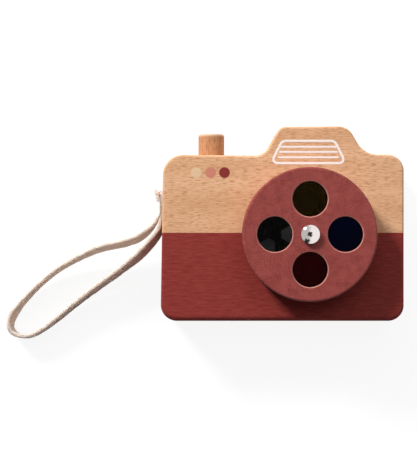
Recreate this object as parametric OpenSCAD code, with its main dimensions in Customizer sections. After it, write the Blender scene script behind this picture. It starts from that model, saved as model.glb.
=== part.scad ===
// Wooden toy camera: a beech block with a turning filter lens, a sprung button and a wrist strap.
// It lies on its back, so +Z points out of the lens, +Y to the hump and -X to the strap.
// Millimetres. The origin is the middle of the box that the back face lies in.

/* [Body] */
// Width of the block
body_w = 120; // [112:1:150]
// Height of the block, from its base to its shoulders
body_h = 82.3; // [80:0.1:110]
// Thickness of the block, from back to front
body_t = 30; // [28:1:45]
// How far the left side leans in, from the base up to the shoulder
left_lean = 1.3; // [0:0.1:2]
// Rounding of the block's front and back edges
edge_r = 2; // [1:0.25:3]
// Radius of the upper left corner
corner_upper_left_r = 10; // [5:0.5:12]
// Radius of the upper right corner
corner_upper_right_r = 8; // [5:0.5:9]
// Radius of the lower left corner
corner_lower_left_r = 8; // [5:0.5:14]
// Radius of the lower right corner
corner_lower_right_r = 7.5; // [5:0.5:14]

/* [Hump] */
// Height of the hump above the shoulders
hump_h = 14; // [12:0.5:20]
// Middle of the hump, right of the block's middle
hump_x = 15.7; // [5:0.1:16]
// Width across the hump's flat top, between its sharp corners
hump_top_w = 33.3; // [28:0.1:38]
// Width across the hump's foot, between its sharp corners
hump_foot_w = 49.6; // [46:0.1:52]
// Radius of the hump's upper left corner
hump_left_top_r = 4; // [3.5:0.5:8]
// Radius of the hump's upper right corner
hump_right_top_r = 7.5; // [3.5:0.5:9]
// Radius of the hollow at the hump's left foot
hump_left_foot_r = 7.5; // [3:0.5:10]
// Radius of the hollow at the hump's right foot
hump_right_foot_r = 11; // [3:0.5:11]

/* [Lens] */
// Diameter of the turned lens disc
lens_d = 65; // [62:0.5:70]
// Thickness of the lens disc
lens_t = 14; // [12:0.5:20]
// Rounding of the disc's rim
lens_edge_r = 1; // [0.5:0.25:3]
// Middle of the lens, right of the block's middle
lens_x = 12.5; // [0:0.5:18]
// Middle of the lens, above the base
lens_h = 43; // [38:0.5:46]
// Diameter of the four windows
window_d = 17; // [14:0.5:17.5]
// Distance of the windows from the lens axis
window_pitch_r = 17; // [16:0.5:19]
// Thickness of the lip that each filter sits behind
window_lip = 1.2; // [0.8:0.1:2]
// Width of the lip that each filter sits behind
window_ledge = 1.3; // [0.8:0.1:1.5]
// Chamfer round the front edge of each window
window_chamfer = 0.4; // [0.2:0.1:0.7]

/* [Filters] */
// Thickness of each filter
filter_t = 2.5; // [1.5:0.1:3]
// Thickness of the ring that holds each filter in
filter_ring_t = 3; // [2:0.1:4]
// Width of that ring's wall
filter_ring_w = 1.6; // [1:0.1:2]
// Radius of the middle facet of the many-faced filter
facet_middle_r = 3; // [2:0.1:4]
// Slope of the facets around it, in degrees
facet_slope = 7; // [3:0.5:8]

/* [Axle] */
// Diameter of the steel axle
axle_d = 4; // [3:0.1:5]
// Depth of the axle's blind hole in the block
axle_depth = 18; // [12:0.5:22]
// Diameter of the domed cap on the axle
cap_d = 9; // [8.5:0.1:11]
// Height of that cap
cap_h = 3; // [2.8:0.1:4]
// Height of the cap's straight side, below its dome
cap_skirt = 1.4; // [0.8:0.1:1.5]
// How far the axle reaches into the cap
cap_grip = 1.8; // [1:0.1:2]
// Diameter of the felt washer behind the disc
felt_d = 12; // [9:0.5:13]
// Thickness of the felt washer
felt_t = 0.8; // [0.5:0.1:1.5]
// Diameter of the thin washer under the cap
cap_washer_d = 8.2; // [7:0.1:8.4]
// Thickness of that washer
cap_washer_t = 0.4; // [0.3:0.1:0.8]

/* [View tunnel] */
// Diameter of the tunnel that the eye looks through
tunnel_d = 16; // [12:0.5:17]
// Depth of the countersink at its back end
tunnel_flare = 1.5; // [0.5:0.25:3]

/* [Button] */
// Diameter of the button dowel
button_d = 13; // [11:0.5:15]
// Middle of the button, left of the block's middle
button_x = 35; // [33:0.5:40]
// How far the button stands above the shoulder
button_rise = 11; // [9:0.5:13]
// Length of the dowel inside the block
button_sunk = 14; // [13:0.5:18]
// Chamfer round the button's top
button_chamfer = 0.7; // [0.3:0.1:1.2]
// Travel of the button
button_travel = 4; // [2.5:0.5:5]
// Diameter of the pin that keeps the button in
button_pin_d = 3; // [2:0.1:3.5]
// Depth of the pin's blind hole from the back
button_pin_depth = 24; // [23.5:0.5:26]
// Room for the spring under the button, at rest
spring_room = 10; // [9:0.5:13]
// Mean diameter of the spring
spring_d = 8; // [6:0.5:9]
// Diameter of the spring's wire
spring_wire = 0.8; // [0.5:0.1:0.8]

/* [Strap] */
// Width of the cotton tape
tape_w = 10; // [8:0.5:10]
// Thickness of the cotton tape
tape_t = 2; // [1.6:0.1:2.2]
// Thickness of each layer of tape where the screw squeezes it
squeezed_t = 0.85; // [0.7:0.05:1]
// Middle of the strap's screw, above the base
strap_h = 56; // [52:0.5:58]
// Middle of the strap's screw, in front of the back face
strap_z = 15; // [14:0.5:16]
// Diameter of the strap's screw
screw_d = 3; // [2.5:0.1:3.5]
// How far the screw goes into the block
screw_depth = 15; // [10:0.5:16]
// Diameter of the screw's head
screw_head_d = 6; // [5:0.1:7]
// Height of the screw's head
screw_head_h = 0.8; // [0.7:0.1:1.2]

/* [Fits] */
// Radial clearance of a turning or sliding fit
running_clearance = 0.05; // [0.03:0.01:0.1]
// End play of the disc at each of its faces
end_play = 0.2; // [0.15:0.05:0.4]
// Room round a loose piece
loose_clearance = 0.3; // [0.2:0.05:0.4]

/* [Hidden] */

$fn = 64;
// How far a cutting tool runs past the face that it opens
cut = 1;

// Heights above the middle of the block, as the toy stands upright
base_y = -(body_h + hump_h) / 2;
shoulder_y = base_y + body_h;
top_y = shoulder_y + hump_h;
lens_y = base_y + lens_h;

// Stack along the lens axis, from the block's front face outwards
disc_back_z = body_t + felt_t + end_play;
disc_front_z = disc_back_z + lens_t;
cap_washer_z = disc_front_z + end_play;
cap_z = cap_washer_z + cap_washer_t;
axle_z = body_t - axle_depth;
axle_top_z = cap_z + cap_grip;

// Pockets behind the windows
pocket_d = window_d + 2 * window_ledge;
filter_d = pocket_d - 2 * loose_clearance;
filter_front_z = disc_front_z - window_lip;
filter_back_z = filter_front_z - filter_t;
ring_back_z = filter_back_z - filter_ring_t;

// Where each window stands round the lens, as an angle from +X
top_angle = 90;
right_angle = 0;
bottom_angle = 270;
left_angle = 180;
window_angles = [right_angle, top_angle, left_angle, bottom_angle];

// Button, from its top downwards
button_top_y = shoulder_y + button_rise;
button_foot_y = shoulder_y - button_sunk;
button_bore_y = button_foot_y - spring_room;
button_z = body_t / 2;
button_slot_w = button_pin_d + 2 * loose_clearance;
button_slot_margin = 3;
button_pin_y = button_foot_y + button_slot_margin + button_pin_d / 2;
button_pin_sunk = 0.3;

spring_turns = 5;
spring_rings_per_turn = 8;
spring_sides = 6;

// Corners of the block's outline, anticlockwise from the lower left: x, y and radius
hump_left_foot_x = hump_x - hump_foot_w / 2;
hump_right_foot_x = hump_x + hump_foot_w / 2;
hump_left_top_x = hump_x - hump_top_w / 2;
hump_right_top_x = hump_x + hump_top_w / 2;
// The left side leans, so its sharp foot lies outside the rounded corner that body_w is measured to
face_lean = atan(left_lean / body_h);
left_foot_x = -body_w / 2 - corner_lower_left_r * tan(face_lean);
outline = [
  [left_foot_x, base_y, corner_lower_left_r],
  [body_w / 2, base_y, corner_lower_right_r],
  [body_w / 2, shoulder_y, corner_upper_right_r],
  [hump_right_foot_x, shoulder_y, hump_right_foot_r],
  [hump_right_top_x, top_y, hump_right_top_r],
  [hump_left_top_x, top_y, hump_left_top_r],
  [hump_left_foot_x, shoulder_y, hump_left_foot_r],
  [left_foot_x + left_lean, shoulder_y, corner_upper_left_r]
];
corner_count = len(outline);
// The rim is a ring that laps over the flat core inside it
rim_lap = 0.2;
core_inset = edge_r + rim_lap;
arc_steps = 8;
rim_steps = 4;

// The strap's screw sits square on the leaning left face
strap_anchor = [left_foot_x + strap_h * tan(face_lean), base_y + strap_h];
// Gaps behind the inner layer of tape and between the two layers under the screw
seat_gap = 0.1;
layer_gap = 0.3;
// How far the screw's head presses into the tape
head_sunk = 0.5;
inner_layer_x = -seat_gap - squeezed_t / 2;
outer_layer_x = inner_layer_x - squeezed_t - layer_gap;
tape_face_x = outer_layer_x - squeezed_t / 2;
half_squeezed_t = (tape_t + squeezed_t) / 2;
// Way that the tape's upper edge leans, and the rounding of its edges
lean_way = [-0.62, 0.78, 0];
tape_edge = 0.35;
// Route of the tape's middle: out from the left face, up from the screw, height off the table,
// lean and thickness
strap_route = [
  [outer_layer_x - 1.1, 8.2, strap_z, 0, tape_t - 0.3],
  [outer_layer_x - 0.6, 5.6, strap_z, 0, half_squeezed_t],
  [outer_layer_x, 3, strap_z, 0, squeezed_t],
  [outer_layer_x, 0, strap_z, 0, squeezed_t],
  [outer_layer_x, -3, strap_z, 0, squeezed_t],
  [outer_layer_x - 1.3, -4.9, strap_z, 0, tape_t - 0.5],
  [-4, -7.3, strap_z, 3, tape_t - 0.4],
  [-7, -10.8, 14.8, 10, tape_t],
  [-10.2, -13.5, 14.4, 16, tape_t],
  [-14.1, -15.9, 13.8, 17, tape_t],
  [-22.2, -18.5, 12.5, 18, tape_t],
  [-32.5, -21, 11, 15, tape_t],
  [-42.6, -25.6, 9.5, 10, tape_t],
  [-52.7, -31.4, 8, 7, tape_t],
  [-60.8, -37.8, 6.8, 6, tape_t],
  [-68.5, -45.3, 5.8, 7, tape_t],
  [-73.9, -51.6, 5.3, 10, tape_t],
  [-77.2, -57.1, 5.2, 14, tape_t],
  [-77.7, -62.7, 5.2, 5, tape_t],
  [-73.8, -66.2, 5.2, 10, tape_t],
  [-67.1, -66.1, 5.2, 6, tape_t],
  [-59.6, -61.8, 5.3, 6, tape_t],
  [-52.8, -56.4, 5.7, 8, tape_t],
  [-42.4, -47.7, 7, 10, tape_t],
  [-32.1, -39.8, 9, 12, tape_t],
  [-21.6, -31.9, 11, 14, tape_t],
  [-11.4, -23.4, 13.2, 20, tape_t],
  [-3.8, -14.5, 14.6, 17, tape_t],
  [-0.7 - tape_t / 2, -10.1, strap_z, 8, tape_t],
  [-0.2 - tape_t / 2, -6.2, strap_z, 2, tape_t - 0.2],
  [inner_layer_x, -3, strap_z, 0, squeezed_t],
  [inner_layer_x, 0, strap_z, 0, squeezed_t],
  [inner_layer_x, 3, strap_z, 0, squeezed_t],
  [inner_layer_x - 0.35, 7.8, strap_z, 0, half_squeezed_t]
];
strap_steps = 2;

beech = "burlywood";
red_paint = "brown";
steel = "silver";
chrome = "gainsboro";
cotton = "linen";

function unit(v) = v / norm(v);
function flat(corner) = [corner[0], corner[1]];
function left_of(v) = [-v[1], v[0]];
function heading(v) = atan2(v[1], v[0]);

// One rounded corner of the outline: where its arc starts and ends, its centre, radius and turn
function way_in(i) =
  unit(flat(outline[i]) - flat(outline[(i + corner_count - 1) % corner_count]));
function way_out(i) = way_in((i + 1) % corner_count);
function turn(i) =
  let (a = heading(way_out(i)) - heading(way_in(i)))
    a > 180 ? a - 360 : a < -180 ? a + 360 : a;
function hollow(i) = turn(i) < 0;
function side(i) = hollow(i) ? -1 : 1;
function setback(i) = outline[i][2] * tan(abs(turn(i)) / 2);
function arc_start(i) = flat(outline[i]) - way_in(i) * setback(i);
function arc_end(i) = flat(outline[i]) + way_out(i) * setback(i);
function arc_centre(i) = arc_start(i) + left_of(way_in(i)) * outline[i][2] * side(i);
function inset_r(i) = outline[i][2] - core_inset * side(i);
function inset_start(i) = arc_start(i) + left_of(way_in(i)) * core_inset;
function inset_end(i) = arc_end(i) + left_of(way_out(i)) * core_inset;

// The rim's section, as how far outside the outline and how high, from the inner wall round to itself
rim_section = concat(
  [[-core_inset - rim_lap, 0]],
  [for (k = [0 : rim_steps]) let (a = 90 * k / rim_steps) [edge_r * (sin(a) - 1), edge_r * (1 - cos(a))]],
  [for (k = [0 : rim_steps]) let (a = 90 * k / rim_steps) [edge_r * (cos(a) - 1), body_t - edge_r * (1 - sin(a))]],
  [[-core_inset - rim_lap, body_t]]
);
// That section at one step round corner i
function rim_ring(i, k) =
  let (
    spoke = heading(arc_start(i) - arc_centre(i)) + turn(i) * k / arc_steps,
    out = [cos(spoke), sin(spoke)]
  )
    [
      for (p = rim_section)
        let (q = arc_centre(i) + out * (outline[i][2] + p[0] * side(i)))
          [q[0], q[1], p[1]]
    ];

// A point on a smooth curve through the route, between its points i and i + 1
function route_at(route, i) = route[max(0, min(len(route) - 1, i))];
function smooth_point(route, i, s) =
  let (
    a = route_at(route, i - 1),
    b = route_at(route, i),
    c = route_at(route, i + 1),
    d = route_at(route, i + 2)
  )
    (2 * b + (c - a) * s + (2 * a - 5 * b + 4 * c - d) * s * s
      + (3 * b - a - 3 * c + d) * s * s * s) / 2;
function smooth_route(route, steps) = concat(
  [for (i = [0 : len(route) - 2], k = [0 : steps - 1]) smooth_point(route, i, k / steps)],
  [route[len(route) - 1]]
);

function place(p) = [p[0], p[1], p[2]];
function travel(line, i) =
  unit(place(line[min(len(line) - 1, i + 1)]) - place(line[max(0, i - 1)]));
function square_to(v, t) = unit(v - t * (v * t));

// Section of the tape at a thickness t: a flat bar with its long edges taken off
function tape_section(t) = [
  [-tape_w / 2 + tape_edge, -t / 2], [tape_w / 2 - tape_edge, -t / 2],
  [tape_w / 2, -t / 2 + tape_edge], [tape_w / 2, t / 2 - tape_edge],
  [tape_w / 2 - tape_edge, t / 2], [-tape_w / 2 + tape_edge, t / 2],
  [-tape_w / 2, t / 2 - tape_edge], [-tape_w / 2, -t / 2 + tape_edge]
];
function tape_ring(line, i) =
  let (
    t = travel(line, i),
    lean = line[i][3],
    across = square_to([0, 0, cos(lean)] + lean_way * sin(lean), t),
    through = cross(t, across)
  )
    [for (p = tape_section(line[i][4])) place(line[i]) + across * p[0] + through * p[1]];

// One ring of the spring's wire, at an angle along its helix
spring_pitch = (spring_room - spring_wire - 2 * loose_clearance) / spring_turns;
function spring_middle(a) =
  [spring_d / 2 * cos(a), spring_pitch * a / 360, spring_d / 2 * sin(a)];
function spring_ring(a) =
  let (
    out = [cos(a), 0, sin(a)],
    t = unit([-spring_d / 2 * sin(a), spring_pitch / 360 * 180 / PI, spring_d / 2 * cos(a)]),
    up = cross(t, out)
  )
    [
      for (k = [0 : spring_sides - 1])
        let (b = 360 / spring_sides * k)
          spring_middle(a) + (out * cos(b) + up * sin(b)) * spring_wire / 2
    ];

// A tube through rings of points that all have the same count: it has two ends, or runs back into itself
module tube_through(rings, endless = false) {
  sides = len(rings[0]);
  last = len(rings) - 1;
  count = len(rings) * sides;
  walls = [
    for (i = [0 : endless ? last : last - 1], k = [0 : sides - 1])
      let (a = i * sides + k, b = i * sides + (k + 1) % sides)
        each [[a, b, (b + sides) % count], [a, (b + sides) % count, (a + sides) % count]]
  ];
  ends = [
    for (k = [1 : sides - 2])
      each [[0, k + 1, k], [last * sides, last * sides + k, last * sides + k + 1]]
  ];
  polyhedron(points = [for (r = rings) each r], faces = endless ? walls : concat(walls, ends));
}

// A flat disc with its two rims rounded
module rounded_disc(r, h, edge) {
  rotate_extrude() {
    square([r - edge, h]);
    translate([0, edge]) square([r, h - 2 * edge]);
    translate([r - edge, edge]) circle(edge);
    translate([r - edge, h - edge]) circle(edge);
  }
}

module inset_face() {
  difference() {
    union() {
      polygon([
        for (i = [0 : corner_count - 1])
          each hollow(i)
            ? [inset_start(i), inset_end(i)]
            : [inset_start(i), arc_centre(i), inset_end(i)]
      ]);
      for (i = [0 : corner_count - 1]) {
        if (!hollow(i)) translate(arc_centre(i)) circle(inset_r(i));
      }
    }
    for (i = [0 : corner_count - 1]) {
      if (hollow(i)) translate(arc_centre(i)) circle(inset_r(i));
    }
  }
}

module block() {
  linear_extrude(body_t) inset_face();
  tube_through([for (i = [0 : corner_count - 1], k = [0 : arc_steps]) rim_ring(i, k)], endless = true);
}

module at_lens() {
  translate([lens_x, lens_y, 0]) children();
}

module at_window(angle) {
  at_lens() rotate(angle) translate([window_pitch_r, 0, 0]) rotate(-angle) children();
}

// Stands a shape that is drawn along +Z along +Y, on the button's axis
module at_button(y) {
  translate([-button_x, y, button_z]) rotate([-90, 0, 0]) children();
}

// Squares a shape up to the leaning left face, where the strap is screwed on
module at_strap() {
  translate([strap_anchor[0], strap_anchor[1], 0]) rotate(-face_lean) children();
}

module view_tunnel() {
  at_window(top_angle) {
    translate([0, 0, -cut]) cylinder(d = tunnel_d, h = body_t + 2 * cut);
    translate([0, 0, -cut])
      cylinder(r1 = tunnel_d / 2 + tunnel_flare + cut, r2 = tunnel_d / 2, h = tunnel_flare + cut);
  }
}

module body() {
  color(beech) difference() {
    block();
    view_tunnel();
    at_lens() translate([0, 0, axle_z]) cylinder(d = axle_d, h = axle_depth + cut);
    at_button(button_bore_y)
      cylinder(r = button_d / 2 + running_clearance, h = shoulder_y - button_bore_y + cut);
    translate([-button_x, button_pin_y, -cut])
      cylinder(d = button_pin_d, h = button_pin_depth + cut);
    at_strap() translate([-cut, 0, strap_z])
      rotate([0, 90, 0]) cylinder(d = screw_d, h = screw_depth + cut);
  }
}

module window() {
  translate([0, 0, disc_back_z - cut]) cylinder(d = pocket_d, h = filter_front_z - disc_back_z + cut);
  translate([0, 0, disc_back_z]) cylinder(d = window_d, h = lens_t + cut);
  translate([0, 0, disc_front_z - window_chamfer])
    cylinder(r1 = window_d / 2, r2 = window_d / 2 + window_chamfer + cut, h = window_chamfer + cut);
}

module lens_disc() {
  color(red_paint) difference() {
    at_lens() translate([0, 0, disc_back_z]) rounded_disc(lens_d / 2, lens_t, lens_edge_r);
    for (angle = window_angles) at_window(angle) window();
    at_lens() translate([0, 0, disc_back_z - cut])
      cylinder(r = axle_d / 2 + running_clearance, h = lens_t + 2 * cut);
  }
}

module filter(angle) {
  at_window(angle) translate([0, 0, filter_back_z]) cylinder(d = filter_d, h = filter_t);
}

// The many-faced filter fills its window's lip with a flat middle and six sloping facets
module faceted_filter(angle) {
  facets = 6;
  crown_h = window_lip;
  crown_d = window_d - 2 * loose_clearance;
  filter(angle);
  at_window(angle) translate([0, 0, filter_front_z]) difference() {
    cylinder(d = crown_d, h = crown_h);
    for (k = [0 : facets - 1])
      rotate(360 / facets * k)
        translate([facet_middle_r, 0, crown_h])
          rotate([0, facet_slope, 0])
            translate([0, -crown_d, 0]) cube([crown_d, 2 * crown_d, crown_h]);
  }
}

module filter_yellow() { color("gold") filter(top_angle); }
module filter_blue() { color("navy") filter(right_angle); }
module filter_red() { color("crimson") filter(bottom_angle); }
module filter_faceted() { color("dimgray") faceted_filter(left_angle); }

module filter_ring(angle) {
  color("sienna") at_window(angle) translate([0, 0, ring_back_z]) difference() {
    cylinder(d = pocket_d, h = filter_ring_t);
    translate([0, 0, -cut])
      cylinder(d = pocket_d - 2 * filter_ring_w, h = filter_ring_t + 2 * cut);
  }
}

module filter_ring_top() { filter_ring(top_angle); }
module filter_ring_right() { filter_ring(right_angle); }
module filter_ring_bottom() { filter_ring(bottom_angle); }
module filter_ring_left() { filter_ring(left_angle); }

module axle_pin() {
  color(steel) at_lens() translate([0, 0, axle_z]) cylinder(d = axle_d, h = axle_top_z - axle_z);
}

module axle_cap() {
  dome_h = cap_h - cap_skirt;
  dome_r = (pow(cap_d / 2, 2) + pow(dome_h, 2)) / (2 * dome_h);
  color(chrome) at_lens() translate([0, 0, cap_z]) difference() {
    intersection() {
      translate([0, 0, cap_h - dome_r]) sphere(dome_r);
      cylinder(d = cap_d, h = 2 * cap_h);
    }
    translate([0, 0, -cut]) cylinder(d = axle_d, h = cap_grip + cut);
  }
}

module washer(d, t, z) {
  at_lens() translate([0, 0, z]) difference() {
    cylinder(d = d, h = t);
    translate([0, 0, -cut]) cylinder(r = axle_d / 2 + running_clearance, h = t + 2 * cut);
  }
}

module felt_washer() { color("dimgray") washer(felt_d, felt_t, body_t); }
module cap_washer() { color(steel) washer(cap_washer_d, cap_washer_t, cap_washer_z); }

module button_slot() {
  reach = button_travel + 2 * loose_clearance + button_pin_d - button_slot_w;
  bottom_y = button_pin_y - button_pin_d / 2 - loose_clearance + button_slot_w / 2;
  translate([-button_x, bottom_y, button_z - button_d]) {
    cylinder(d = button_slot_w, h = 2 * button_d);
    translate([0, reach, 0]) cylinder(d = button_slot_w, h = 2 * button_d);
    translate([-button_slot_w / 2, 0, 0]) cube([button_slot_w, reach, 2 * button_d]);
  }
}

module shutter_button() {
  r = button_d / 2;
  length = button_top_y - button_foot_y;
  color(beech) difference() {
    at_button(button_foot_y) rotate_extrude() polygon([
      [0, 0], [r, 0], [r, length - button_chamfer], [r - button_chamfer, length], [0, length]
    ]);
    button_slot();
  }
}

module button_spring() {
  foot_y = button_bore_y + loose_clearance + spring_wire / 2;
  step = 360 / spring_rings_per_turn;
  color(steel) translate([-button_x, foot_y, button_z])
    tube_through([for (a = [0 : step : 360 * spring_turns]) spring_ring(a)]);
}

module button_pin() {
  color(steel) translate([-button_x, button_pin_y, button_pin_sunk])
    cylinder(d = button_pin_d, h = button_pin_depth - button_pin_sunk);
}

module strap() {
  line = smooth_route(strap_route, strap_steps);
  color(cotton) at_strap() difference() {
    tube_through([for (i = [0 : len(line) - 1]) tape_ring(line, i)]);
    translate([0, 0, strap_z]) rotate([0, -90, 0]) {
      cylinder(d = screw_d + loose_clearance, h = -tape_face_x + cut);
      translate([0, 0, -tape_face_x - head_sunk]) cylinder(d = screw_head_d, h = head_sunk + cut);
    }
  }
}

module strap_screw() {
  head_foot = -tape_face_x - head_sunk;
  dome_r = (pow(screw_head_d / 2, 2) + pow(screw_head_h, 2)) / (2 * screw_head_h);
  color(steel) at_strap() translate([0, 0, strap_z]) rotate([0, -90, 0]) {
    translate([0, 0, -screw_depth]) cylinder(d = screw_d, h = screw_depth + head_foot);
    translate([0, 0, head_foot]) intersection() {
      translate([0, 0, screw_head_h - dome_r]) sphere(dome_r);
      cylinder(d = screw_head_d, h = 2 * screw_head_h);
    }
  }
}

body();
lens_disc();
filter_yellow();
filter_blue();
filter_red();
filter_faceted();
filter_ring_top();
filter_ring_right();
filter_ring_bottom();
filter_ring_left();
axle_pin();
axle_cap();
felt_washer();
cap_washer();
shutter_button();
button_spring();
button_pin();
strap();
strap_screw();
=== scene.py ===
"""Looks of the wooden toy camera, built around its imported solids. Lengths are in millimetres until mm()."""

import math
import random

import bmesh
import bpy
from mathutils import Matrix, Vector, noise


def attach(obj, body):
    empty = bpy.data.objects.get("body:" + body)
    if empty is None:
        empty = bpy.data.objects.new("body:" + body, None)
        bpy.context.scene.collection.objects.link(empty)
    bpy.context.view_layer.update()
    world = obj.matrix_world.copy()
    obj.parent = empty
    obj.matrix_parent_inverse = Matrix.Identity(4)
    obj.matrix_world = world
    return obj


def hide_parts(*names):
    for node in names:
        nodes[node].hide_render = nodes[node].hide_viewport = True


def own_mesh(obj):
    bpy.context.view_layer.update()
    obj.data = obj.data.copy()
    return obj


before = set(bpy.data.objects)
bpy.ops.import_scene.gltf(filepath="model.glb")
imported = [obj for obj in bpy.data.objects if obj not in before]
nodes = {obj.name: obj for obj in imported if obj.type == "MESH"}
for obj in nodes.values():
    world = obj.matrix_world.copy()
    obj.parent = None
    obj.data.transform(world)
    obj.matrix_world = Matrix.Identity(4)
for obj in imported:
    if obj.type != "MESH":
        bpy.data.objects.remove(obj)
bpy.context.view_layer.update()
scene = bpy.context.scene
chance = random.Random(7)
MM = 0.001

# Edges that turn more than this stay sharp to the eye: on hard pieces, on the spring's wire and on cotton
SHARP_ANGLE = math.radians(35)
WIRE_ANGLE = math.radians(60)
COTTON_ANGLE = math.radians(80)
# Points nearer than this, in metres, are merged
MERGE_DISTANCE = 1e-7
# Steps round a turned solid
TURN_STEPS = 64

# Camera: straight above the toy, as it lies on its back
CAMERA_PLACE = (-36.43, -2.84, 630)
CAMERA_LENS = 95.4
CAMERA_SENSOR = 36

# Studio: how pale the floor is to scattered light and to the eye, its glow and how far it lies below the
# toy, and the light from all round
FLOOR_BOUNCE = 0.7
FLOOR_SHADOW = 0.14
FLOOR_GLOW = 0.9
FLOOR_DROP = 0.05
AMBIENT_BELOW = 0.06
AMBIENT_ABOVE = 0.22
# In metres: half of the floor's width, and the radii between which it is covered under the view tunnel
FLOOR_REACH = 3
COVERED_RADIUS = 0.011
BARE_RADIUS = 0.014
# Lamps, and the key lamp's glow in metal and glass
KEY_PLACE = (-1.47, 1.77, 1.22)
KEY_SIZE = 0.52
KEY_POWER = 89
KEY_GLOW = 2.5
FILL_PLACE = (0.24, 1.52, 1.6)
FILL_SIZE = 2.5
FILL_POWER = 22
# Way to the studio's dark corner, which only metal and glass show
DARK_CORNER = (-0.35, -0.78, 0.5)

# Block: corners anticlockwise from the lower left, with the rounding of each
BLOCK_CORNERS = (
    (-60.126, -48.15, 8),
    (60, -48.15, 7.5),
    (60, 34.15, 8),
    (40.5, 34.15, 11),
    (32.35, 48.15, 7.5),
    (-0.95, 47.8, 4),
    (-9.1, 33.6, 7.5),
    (-58.826, 34.15, 10),
)
BLOCK_THICK = 30
# The base edge is sanded rounder than the other edges
EDGE_ROUND = 1.25
BASE_ROUND = 3.2
EDGE_STEPS = 8
CORNER_STEPS = 14
PAINT_LINE = -4.45

# Bores in the block
TUNNEL_PLACE = (12.5, 11.85)
TUNNEL_RADIUS = 8
TUNNEL_FLARE = 1.5
AXLE_PLACE = (12.5, -5.15)
AXLE_RADIUS = 2
AXLE_FOOT = 12
SHOULDER_Y = 34.15
BUTTON_X = -35
BUTTON_MIDDLE = 15
BUTTON_TOP_Y = 45.15
BUTTON_BORE_RADIUS = 6.55
BUTTON_BORE_FOOT = 10.15
PIN_Y = 24.65
PIN_RADIUS = 1.5
PIN_TOP = 24

# Spring under the button
SPRING_RADIUS = 4
SPRING_WIRE_RADIUS = 0.4
SPRING_FOOT = 10.45
SPRING_PITCH = 1.72
SPRING_TURNS = 5
SPRING_STEPS = 24
SPRING_WIRE_SIDES = 8

# Windows in the lens disc, and how far from their rims the painted highlight on the rim starts and is full
WINDOW_PITCH = 17
WINDOW_RADIUS = 8.5
DISC_FRONT = 45
RIM_HIGHLIGHT_START = 0.6
RIM_HIGHLIGHT_FULL = 0.35

# The strap's screw sits square on the left face, which leans
FACE_LEAN = math.atan(1.3 / 82.3)
SCREW_PLACE = (-59.242, 7.85, 15)
SCREW_RADIUS = 1.5
SCREW_DEPTH = 15
SCREW_HEAD_RADIUS = 3
SCREW_HEAD_FOOT = 1.6
SCREW_HEAD_HEIGHT = 0.8
SCREW_DOME_STEPS = 8
# Cross recess in its head: the size of each arm, and how far each is turned
RECESS_SIZE = (3.4, 0.7, 1)
RECESS_TURNS = {"recess_a": math.pi / 5, "recess_b": math.pi * 0.7}

# Flash print: the trapezoid's middle, feet and top above the block's middle, and its lines
FLASH_X = 12.85
FLASH_FOOT_Y = 29.35
FLASH_TOP_Y = 41.45
FLASH_FOOT_W = 38.8
FLASH_TOP_W = 26.6
FLASH_FOOT_R = 2.8
FLASH_TOP_R = 3.4
FLASH_LINE = 1.1
FLASH_STEPS = 8
# Stripes in it: the height of each and half of its length
FLASH_STRIPES = ((37.95, 13.8), (35.45, 14.5), (32.8, 14.9))
STRIPE_LINE = 0.9
STRIPE_ROUND = 0.36
STRIPE_STEPS = 4
INK_THICK = 0.04

# Printed dots
DOT_Y = 25.25
DOT_RADIUS = 2.65
DOT_STEPS = 48
DOT_PLACES = {"dot_cream": -42.5, "dot_pink": -35.4, "dot_burgundy": -28.55}

# Wrist strap: out from the left face, up from the screw, height off the table, lean and thickness
STRAP_ROUTE = (
    (-3.3, 8.2, 15, 0, 1.7), (-2.5, 5.6, 15, 0, 1.425), (-1.675, 3, 15, 0, 0.85),
    (-1.675, 0, 15, 0, 0.85), (-1.675, -3, 15, 0, 0.85), (-2.975, -4.9, 15, 0, 1.5),
    (-4, -7.3, 15, 3, 1.6), (-7, -10.8, 14.8, 10, 2), (-10.2, -13.5, 14.4, 16, 2),
    (-14.1, -15.9, 13.8, 17, 2), (-22.2, -18.5, 12.5, 18, 2), (-32.5, -21, 11, 15, 2),
    (-42.6, -25.6, 9.5, 10, 2), (-52.7, -31.4, 8, 7, 2), (-60.8, -37.8, 6.8, 6, 2),
    (-68.5, -45.3, 5.8, 7, 2), (-73.9, -51.6, 5.3, 10, 2), (-77.2, -57.1, 5.2, 14, 2),
    (-77.7, -62.7, 5.2, 5, 2), (-73.8, -66.2, 5.2, 10, 2), (-67.1, -66.1, 5.2, 6, 2),
    (-59.6, -61.8, 5.3, 6, 2), (-52.8, -56.4, 5.7, 8, 2), (-42.4, -47.7, 7, 10, 2),
    (-32.1, -39.8, 9, 12, 2), (-21.6, -31.9, 11, 14, 2), (-11.4, -23.4, 13.2, 20, 2),
    (-3.8, -14.5, 14.6, 17, 2), (-1.7, -10.1, 15, 8, 2), (-1.2, -6.2, 15, 2, 1.8),
    (-0.525, -3, 15, 0, 0.85), (-0.525, 0, 15, 0, 0.85), (-0.525, 3, 15, 0, 0.85),
    (-0.875, 7.8, 15, 0, 1.425),
)
STRAP_STEPS = 12
TAPE_WIDTH = 10
TAPE_THICK = 2
LEAN_WAY = Vector((-0.62, 0.78, 0))
# Mesh of the tape: its step along, the points on each face and edge, and how square an edge is: 1 is round
WEAVE_STEP = 0.3
FACE_COUNT = 20
EDGE_COUNT = 6
EDGE_SQUARE = 0.5
# Weave: how far apart its ribs are along and across, their height, and the loops on its edges a metre
RIB_ALONG = 1.5
RIB_ACROSS = 2.2
WEAVE_RELIEF = 0.07
LOOPS = 1200
LOOP_CONTRAST = 1.8
# The faces give way to the edges this far from the tape's middle, over this width
EDGE_START = 3.8
EDGE_BLEND = 0.6
# Lumps in the tape: how many a metre, and their height
TAPE_LUMPS = ((260, 0.14), (1100, 0.05))
# Under the screw the tape's edges stay at least this thick
LOOSE_THICK = 1.1
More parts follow.
